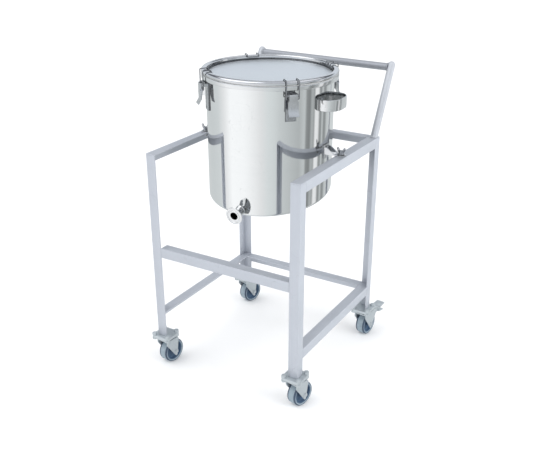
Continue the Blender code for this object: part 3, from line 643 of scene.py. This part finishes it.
def roundedLine(points, radius, steps):
    points = [Vector(point) for point in points]
    line = [points[0]]
    for before, corner, after in zip(points, points[1:], points[2:]):
        toBefore, toAfter = before - corner, after - corner
        start = corner + toBefore.normalized() * min(radius, toBefore.length * 0.49)
        end = corner + toAfter.normalized() * min(radius, toAfter.length * 0.49)
        for step in range(steps + 1):
            t = step / steps
            line.append(start * (1 - t) ** 2 + corner * 2 * t * (1 - t) + end * t ** 2)
    return line + [points[-1]]


def softCopy(node, width, segments=2):
    # The solid's own shape with its edges eased
    piece = copyOf(cadNodes[node])
    only(piece)
    bpy.ops.mesh.customdata_custom_splitnormals_clear()
    openMesh()
    bpy.ops.mesh.remove_doubles(threshold=0.00001)
    bpy.ops.mesh.dissolve_limited(angle_limit=math.radians(1))
    bpy.ops.object.mode_set(mode="OBJECT")
    eased(piece, width, segments, softAngle)
    smoothed(piece, softAngle)
    return piece


# Stand

stand = {
    "edge": 0.0009, "segments": 3,
    "legs": [f"{corner}_leg" for corner in corners],
    "sideRails": ["left_top_rail", "right_top_rail", "left_lower_rail", "right_lower_rail"],
    "crossRails": ["rear_top_rail", "front_cross_rail", "rear_lower_rail"],
}


def buildStand():
    for group, material in (("legs", satinUpright), ("sideRails", satinDeep),
                            ("crossRails", satinAcross)):
        for node in stand[group]:
            piece = softCopy(node, stand["edge"], stand["segments"])
            dressed(piece, camelName(node), rootBody, material, "satin_steel", node)
    print("stand made")


pushHandle = {
    "radius": 0.011, "foot": (0.232, 0.18475, 0.6853), "top": (0.227, 0.30175, 0.885),
    "belowFoot": 0.006, "pastTop": 0.003, "endRound": 0.0105, "endSegments": 8, "sides": 48,
    "footBead": [(11.0, 0), (13.0, 0.3), (12.8, 1.4), (11.6, 2.4), (10.6, 3)],
    "crossbarBelowTop": 0.015, "crossbarInset": 0.009, "crossBeadInset": 0.0112,
    "crossBead": [(10.6, -1.6), (12.0, -0.8), (12.3, 0.4), (11.8, 1.6), (10.8, 2.4)],
}


def buildPushHandle():
    foot, top = Vector(pushHandle["foot"]), Vector(pushHandle["top"])
    radius, sides = pushHandle["radius"], pushHandle["sides"]
    along = (top - foot).normalized()
    for side, node in ((1, "right_handle_upright"), (-1, "left_handle_upright")):
        flip = Vector((side, 1, 1))
        end = (top + along * pushHandle["pastTop"]) * flip
        tube = bar((foot - along * pushHandle["belowFoot"]) * flip, end, radius, sides)
        openMesh()
        bpy.ops.mesh.bisect(plane_co=foot, plane_no=(0, 0, 1), use_fill=True, clear_inner=True)
        pick(tube, "EDGE", lambda edge: all(
            abs((point - end).dot(along * flip)) < nearEnough for point in endsOf(tube, edge)))
        bpy.ops.mesh.bevel(offset=pushHandle["endRound"], segments=pushHandle["endSegments"],
                           affect="EDGES", clamp_overlap=True)
        bpy.ops.object.mode_set(mode="OBJECT")
        smoothed(tube, roundAngle)
        bead = spun(pushHandle["footBead"], sides)
        moveTo(bead, foot * flip)
        dressed(joined([tube, bead]), camelName(node), rootBody, satinTube, "satin_tube", node)
    middle = top - along * pushHandle["crossbarBelowTop"]
    reach = middle.x - pushHandle["crossbarInset"]
    cross = bar((-reach, middle.y, middle.z), (reach, middle.y, middle.z), radius, sides)
    beads = []
    for side in (-1, 1):
        bead = spun(pushHandle["crossBead"], sides)
        moveTo(bead, (side * (middle.x - pushHandle["crossBeadInset"]), middle.y, middle.z),
               (0, -side * quarterTurn, 0))
        beads.append(bead)
    # The crossbar gets the darker tube steel, whose darkness is painted shade
    dressed(joined([cross, *beads]), "handleCrossbar", rootBody, crossTube, "satin_tube",
            "handle_crossbar")
    print("push handle made")


# Casters, with profiles in mm

wheel = {
    "radius": 37.5, "width": 31, "rubber": 6.5, "bore": 4.2, "barrel": 18.6, "steps": 72,
    # A thin ring on each rounded shoulder of the tyre, which carries the painted shade
    "edge": [(33.7, 14.8), (33.9, 15.5), (35.0, 15.5), (36.2, 14.7), (37.0, 13.4), (37.4, 11.8),
             (37.5, 10.4), (37.3, 9.9), (36.9, 10.0), (35.2, 12.8)],
}
axleHeight = wheel["radius"] / 1000
caster = {
    "trail": 0.020,
    "turns": {"front_left": -8, "front_right": -14, "rear_left": -15, "rear_right": -7},
    "plateEdge": 0.0006, "forkEdge": 0.0009, "pedalEdge": 0.0008, "domeSteps": 20,
    "boltAt": 0.0235, "boltFoot": 0.104,
    "boltDome": [(0, 8.0), (2.4, 7.8), (4.4, 7.3), (5.6, 6.8), (5.6, 5.8)],
    "race": [(19.6, 94.5), (21.2, 94.2), (21.6, 92.8), (20.9, 92.2), (21.4, 91.4), (21.2, 89.8),
             (19.6, 89.4)],
    "raceSteps": 48, "capAt": 0.0257, "cap": [(0, 0.6), (2.2, 0.5), (3.6, 0.1), (3.9, -0.6)],
}


def bothSides(side):
    return side + [(radius, -height) for radius, height in side[::-1]]


def tyreProfile():
    radius, half, inside = wheel["radius"], wheel["width"] / 2, wheel["radius"] - wheel["rubber"]
    return bothSides([
        (inside, half - 1.2), (inside + 1.2, half - 0.5), (radius - 5, half - 0.1),
        (radius - 4, half - 0.2), (radius - 3, half - 1.2), (radius - 1.5, half - 3.4),
        (radius - 0.5, half - 5.3), (radius, half - 5.7), (radius, half - 9.4),
        (radius - 0.35, half - 9.7), (radius - 0.35, half - 10.2), (radius, half - 10.5)])


def hubProfile():
    half, barrel = wheel["width"] / 2, wheel["barrel"]
    rim = wheel["radius"] - wheel["rubber"] - 0.3
    return bothSides([
        (wheel["bore"], barrel), (7.8, barrel), (8.5, barrel - 0.7), (8.8, 9.4), (9.6, 8.2),
        (13.0, 7.6), (13.6, 6.4), (19.0, 5.0), (23.6, 5.2), (26.4, 7.2), (27.4, half - 3.6),
        (28.2, half - 2.6), (rim - 0.6, half - 2.0), (rim, half - 2.5)])


def onAxle(profile, smooth, side=1):
    piece = spun(profile, wheel["steps"], closed=True, smooth=smooth)
    moveTo(piece, (0, 0, 0), (0, side * quarterTurn, 0))
    return piece


def buildWheels():
    tyre = onAxle(tyreProfile(), 30)
    edge = joined([onAxle(wheel["edge"], 32, side) for side in (-1, 1)])
    hub = onAxle(hubProfile(), 30)
    for corner, (x, y) in corners.items():
        turn = math.radians(caster["turns"][corner])
        place = (x - caster["trail"] * math.sin(turn), y + caster["trail"] * math.cos(turn),
                 axleHeight)
        for source, kind, material, slot, node in (
                (tyre, "tyre", tyreRubber, "grey_rubber", f"{corner}_tyre"),
                # the shoulder rings carry painted shade
                (edge, "tyre_edge", paintedShadeRubber, "grey_rubber", f"{corner}_tyre"),
                (hub, "hub", hubPlastic, "dark_hub", f"{corner}_wheel_hub")):
            piece = copyOf(source)
            moveTo(piece, place, (0, 0, turn))
            dressed(piece, camelName(corner, kind), f"{corner}_wheel", material, slot, node)
    for source in (tyre, edge, hub):
        bpy.data.objects.remove(source)
    print("wheels made")


def buildCasters():
    for corner, (x, y) in corners.items():
        node = f"{corner}_caster_plate"
        pieces = [softCopy(node, caster["plateEdge"])]
        for dx in (-caster["boltAt"], caster["boltAt"]):
            for dy in (-caster["boltAt"], caster["boltAt"]):
                dome = spun(caster["boltDome"], caster["domeSteps"])
                moveTo(dome, (x + dx, y + dy, caster["boltFoot"]))
                pieces.append(dome)
        race = spun(caster["race"], caster["raceSteps"], closed=True)
        moveTo(race, (x, y, 0))
        pieces.insert(1, race)
        dressed(joined(pieces), camelName(node), rootBody, zincPlate, "zinc_steel", node)
        node = f"{corner}_caster_fork"
        pieces = [softCopy(node, caster["forkEdge"])]
        for side in (-1, 1):
            cap = spun(caster["cap"], caster["domeSteps"])
            moveTo(cap, (side * caster["capAt"], caster["trail"], axleHeight),
                   (0, side * quarterTurn, 0))
            moveTo(cap, (x, y, 0), (0, 0, math.radians(caster["turns"][corner])))
            pieces.append(cap)
        dressed(joined(pieces), camelName(node), f"{corner}_swivel", zincPlate, "zinc_steel", node)
    node = "rear_right_brake_pedal"
    dressed(softCopy(node, caster["pedalEdge"]), "brakePedal", "rear_right_brake", zincPlate,
            "zinc_steel", node)
    print("casters made")


# Tank, with its round parts' profiles in mm

tank = {
    "radius": 0.180, "wall": 0.0015, "top": 0.8902, "blank": 0.45, "sides": 144,
    "middleOfBottom": 0.549, "slope": 0.148, "knuckle": 0.010, "knuckleSegments": 8,
    "facingUp": 0.9, "smooth": 28,
    "outletHeight": 0.5395, "outletRadius": 0.0130, "outletCut": 0.020, "outletSides": 48,
}
rim = {
    "ring": [(178.5, 890.6), (178.5, 891.6), (179.0, 892.0), (190.6, 892.0), (191.8, 891.6),
            (192.4, 890.6), (192.5, 889.0), (192.5, 883.0), (192.3, 881.0), (191.8, 880.2),
            (191.2, 880.1), (190.9, 880.9), (191.0, 889.0), (190.6, 890.2), (189.6, 890.6)],
    "bead": [(179.9, 886.4), (181.2, 888.4), (183.0, 890.4), (180.1, 890.5)],
}


def onTank(piece, name, material, slot, *nodes):
    moveTo(piece, tankPlace, (0, 0, tankTurn))
    dressed(piece, name, rootBody, material, slot, *nodes)


def buildShell():
    radius, slope, low = tank["radius"], tank["slope"], tank["middleOfBottom"]
    bpy.ops.object.select_all(action="DESELECT")
    bpy.ops.mesh.primitive_cylinder_add(vertices=tank["sides"], radius=radius, depth=tank["blank"],
                                        location=(0, 0, tank["top"] - tank["blank"] / 2))
    shell = bpy.context.object
    settle(shell)
    openMesh()
    tilt = math.atan(slope)
    bpy.ops.mesh.bisect(plane_co=(0, 0, low), plane_no=(0, -math.sin(tilt), math.cos(tilt)),
                        use_fill=True, clear_inner=True)
    # The flat top, which the lid covers, goes
    pick(shell, "FACE", lambda face: face.normal.z > tank["facingUp"])
    bpy.ops.mesh.delete(type="ONLY_FACE")
    pick(shell, "EDGE", lambda edge: all(
        abs(point.z - low - slope * point.y) < nearEnough for point in endsOf(shell, edge)))
    bpy.ops.mesh.bevel(offset=tank["knuckle"], segments=tank["knuckleSegments"], affect="EDGES")
    closeMesh()
    applied(shell, "SOLIDIFY", thickness=tank["wall"], offset=-1)
    height, reach = tank["outletHeight"], tank["outletCut"]
    cutter = bar((0, -radius - reach, height - reach * slope),
                 (0, -radius + reach, height + reach * slope),
                 tank["outletRadius"], tank["outletSides"])
    applied(shell, "BOOLEAN", object=cutter, operation="DIFFERENCE", solver="EXACT")
    bpy.data.objects.remove(cutter)
    smoothed(shell, tank["smooth"])
    onTank(shell, "tankShell", mirrorWall, "polished_steel", "tank_shell", "tank_bottom")


def buildRim():
    ring = spun(rim["ring"], tank["sides"], closed=True)
    bead = spun(rim["bead"], tank["sides"], closed=True)
    onTank(joined([ring, bead]), "tankRim", mirrorTrim, "polished_steel", "tank_rim")


lid = {
    "disc": [(0, 892.5), (90, 892.4), (166, 892.0), (171.5, 892.0), (171.5, 890.6), (0, 890.8)],
    "ring": [(171.7, 890.6), (171.7, 892.1), (173.6, 892.4), (174.8, 893.4), (175.4, 895.0),
             (175.7, 900.6), (176.3, 902.8), (177.8, 904.4), (179.4, 904.95), (181.0, 905.0),
             (184.4, 904.75), (187.6, 904.2), (190.2, 903.0), (191.8, 901.2), (192.5, 898.6),
             (192.2, 895.8), (191.4, 894.2), (190.4, 893.7), (189.9, 894.4), (190.3, 897.0),
             (189.4, 901.6), (187.2, 902.8), (180.0, 903.5), (177.8, 902.2), (176.9, 890.6)],
    # A thin ring in the corner between disc and ring, whose dark finish is painted shade
    "seam": [(172.0, 892.3), (173.4, 892.7), (174.5, 893.6), (175.1, 895.2), (175.3, 896.8),
             (175.8, 896.9), (175.6, 895.0), (174.9, 893.2), (173.6, 892.2), (172.0, 892.1)],
}


def buildLid():
    disc = spun(lid["disc"], tank["sides"])
    onTank(disc, "lidDisc", lidSatin, "satin_lid", "lid")
    # The thin near-black ring in the disc's corner is painted shade
    for name, profile, material in (("lidRing", "ring", ringPolish),
                                    ("lidShadeLine", "seam", paintedShadeSteel)):
        piece = spun(lid[profile], tank["sides"], closed=True, smooth=roundAngle)
        onTank(piece, name, material, "satin_lid", "lid")
    finishes = cadNodes["lid_gasket"].data.materials
    finishes.clear()
    finishes.append(gasketRubber)


outlet = {
    "profile": [(11.5, 36.0), (12.2, 36.2), (16.5, 36.2), (17.0, 35.4), (19.6, 35.4),
                (20.1, 36.2), (24.4, 36.2), (25.1, 35.8), (25.25, 35.0), (25.25, 33.8),
                (24.8, 33.1), (20.0, 31.2), (16.0, 29.6), (13.6, 28.6), (12.8, 27.0),
                (12.7, 24.0), (12.7, 1.6), (13.2, 0.8), (14.0, 0.2), (14.2, -0.4),
                (12.6, -0.6), (12.6, -3.0), (11.5, -3.0)],
    "steps": 64,
}


def buildOutlet():
    pipe = spun(outlet["profile"], outlet["steps"], closed=True)
    moveTo(pipe, (0, -tank["radius"], tank["outletHeight"]),
           (quarterTurn + math.atan(tank["slope"]), 0, 0))
    onTank(pipe, "outlet", mirrorTrim, "polished_steel", "outlet")


loop = {
    "halfWidth": 0.052, "shoulder": 0.202, "reach": 0.223, "flat": 0.028, "height": 0.031,
    "thick": 0.003, "middle": 0.829, "bend": 0.018, "bendSteps": 10, "sunk": 0.0003, "edge": 0.0012,
    "beadOut": 0.0018, "beadShort": 0.001, "beadRadius": 0.0014,
}


def onWall(y):
    return math.sqrt(tank["radius"] ** 2 - y ** 2)


def buildTankHandles():
    width, low = loop["halfWidth"], loop["middle"] - loop["height"] / 2
    half = [(onWall(width) - loop["sunk"], width, low), (loop["shoulder"], width, low),
            (loop["reach"], loop["flat"], low)]
    other = [(x, -y, z) for x, y, z in half[::-1]]
    band = drawnLine(roundedLine(half + other, loop["bend"], loop["bendSteps"]))
    openMesh()
    bpy.ops.mesh.extrude_region_move(TRANSFORM_OT_translate={"value": (0, 0, loop["height"])})
    closeMesh()
    applied(band, "SOLIDIFY", thickness=loop["thick"], offset=0)
    eased(band, loop["edge"], **barEase)
    smoothed(band, roundAngle)
    foot, head = low + loop["beadShort"], low + loop["height"] - loop["beadShort"]
    beads = []
    for side in (-1, 1):
        y = side * (width + loop["beadOut"])
        beads.append(bentRod([(onWall(y), y, foot), (onWall(y), y, head)], loop["beadRadius"]))
    band = joined([band, *beads])
    settle(band)
    for node, turn in (("right_tank_handle", 0), ("left_tank_handle", math.pi)):
        piece = copyOf(band)
        moveTo(piece, tankPlace, (0, 0, tankTurn + turn))
        dressed(piece, camelName(node), rootBody, mirrorTrim, "polished_steel", node)
    bpy.data.objects.remove(band)


bracket = {
    "edge": 0.0008, "boltFrom": 0.1825, "boltTo": 0.1872, "boltHeight": 0.7025,
    "boltRadius": 0.0055, "boltSides": 6, "boltEdge": 0.0005,
    "beadAt": 0.0146, "beadFoot": 0.673, "beadTop": 0.711, "beadRadius": 0.0013,
}


def buildBrackets():
    for side, word in ((1, "right"), (-1, "left")):
        node, middle, height = f"{word}_tank_bracket", tankPlace[1], bracket["boltHeight"]
        pieces = [softCopy(node, bracket["edge"])]
        pieces.append(bar((side * bracket["boltFrom"], middle, height),
                          (side * bracket["boltTo"], middle, height),
                          bracket["boltRadius"], bracket["boltSides"], bracket["boltEdge"]))
        for y in (-bracket["beadAt"], bracket["beadAt"]):
            ends = [(side * onWall(y), middle + y, z)
                    for z in (bracket["beadFoot"], bracket["beadTop"])]
            pieces.append(bentRod(ends, bracket["beadRadius"]))
        dressed(joined(pieces), camelName(node), rootBody, bracketPolish, "satin_steel", node)
        node = f"{word}_wing_bolt"
        dressed(softCopy(node, bracket["edge"]), camelName(node), rootBody, wingPolish,
                "polished_steel", node)
    print("tank, lid, outlet and brackets made")


# Latches

latch = {
    "turns": {"front_right": -42, "rear_right": 48, "rear_left": 138, "front_left": 228},
    "pivot": (0.196, 0.868), "edge": 0.0004, "domeSteps": 20,
    "stud": [(0, 0.7), (1.6, 0.55), (2.6, 0.1), (2.8, -0.4)],
    "studOut": 0.1834, "studAt": 0.009, "studHeight": 0.803,
    "head": [(0, 0.6), (1.6, 0.5), (2.9, 0.1), (3.1, -0.3)], "headAt": 0.0152,
    "shoulderTop": -0.012, "shoulderEnd": -0.015, "wider": 1.25,
}
bail = {
    "belowPivot": 0.009, "radius": 0.0015, "sides": 4, "halfWidth": 0.0175, "inside": 0.009,
    "lidTop": 0.905, "topFoot": 0.0018, "topNose": 0.0029, "noseShort": 0.0035, "hook": 0.0045,
    "reach": 0.0255, "bend": 0.0026, "bendSteps": 5,
}


def buildBail():
    # In a frame whose zero is the axis on which the bail turns
    lidTop = bail["lidTop"] - latch["pivot"][1] + bail["belowPivot"]
    width = bail["halfWidth"]
    half = [(0, bail["inside"], 0), (0, width, 0), (0, width, lidTop + bail["topFoot"]),
            (bail["noseShort"] - bail["reach"], width, lidTop + bail["topNose"]),
            (-bail["reach"], width, lidTop - bail["hook"])]
    other = [(x, -y, z) for x, y, z in half[::-1]]
    wire = bentRod(roundedLine(half + other, bail["bend"], bail["bendSteps"]), bail["radius"],
                   bail["sides"])
    settle(wire)
    return wire


def widerLever(lever, pivot, turn):
    # Below the ears of its base the lever is wider
    moveTo(lever, -pivot)
    moveTo(lever, (0, 0, 0), (0, 0, -turn))
    openMesh()
    for height in (latch["shoulderTop"], latch["shoulderEnd"]):
        bpy.ops.mesh.select_all(action="SELECT")
        bpy.ops.mesh.bisect(plane_co=(0, 0, height), plane_no=(0, 0, 1))
    pick(lever, "VERT", lambda point: point.co.z < latch["shoulderEnd"] + nearEnough)
    bpy.ops.transform.resize(value=(1, latch["wider"], 1), center_override=(0, 0, 0))
    bpy.ops.object.mode_set(mode="OBJECT")
    moveTo(lever, pivot, (0, 0, turn))
    return lever


def buildLatches():
    wire = buildBail()
    out, height = latch["pivot"]
    for corner, degrees in latch["turns"].items():
        turn = math.radians(degrees)
        pivot = Vector(tankPlace) + Matrix.Rotation(turn, 4, "Z") @ Vector((out, 0, height))
        node = f"{corner}_latch_base"
        pieces = [softCopy(node, latch["edge"])]
        for y in (-latch["studAt"], latch["studAt"]):
            stud = spun(latch["stud"], latch["domeSteps"])
            moveTo(stud, (latch["studOut"], y, latch["studHeight"]), (0, quarterTurn, 0))
            moveTo(stud, tankPlace, (0, 0, turn))
            pieces.append(stud)
        dressed(joined(pieces), camelName(node), rootBody, clipSteel, "bright_steel", node)
        node = f"{corner}_latch_lever"
        pieces = [widerLever(softCopy(node, latch["edge"]), pivot, turn)]
        for side in (-1, 1):
            head = spun(latch["head"], latch["domeSteps"])
            moveTo(head, (0, side * latch["headAt"], 0), (-side * quarterTurn, 0, 0))
            moveTo(head, pivot, (0, 0, turn))
            pieces.append(head)
        dressed(joined(pieces), camelName(node), f"{corner}_lever", leverSteel, "bright_steel",
                node)
        node = f"{corner}_latch_bail"
        hoop = copyOf(wire)
        moveTo(hoop, pivot - Vector((0, 0, bail["belowPivot"])), (0, 0, turn))
        dressed(hoop, camelName(node), f"{corner}_bail", wireSteel, "bright_steel", node)
    bpy.data.objects.remove(wire)
    print("latches made")


buildStand()
buildPushHandle()
buildWheels()
buildCasters()
buildShell()
buildRim()
buildLid()
buildOutlet()
buildTankHandles()
buildBrackets()
buildLatches()
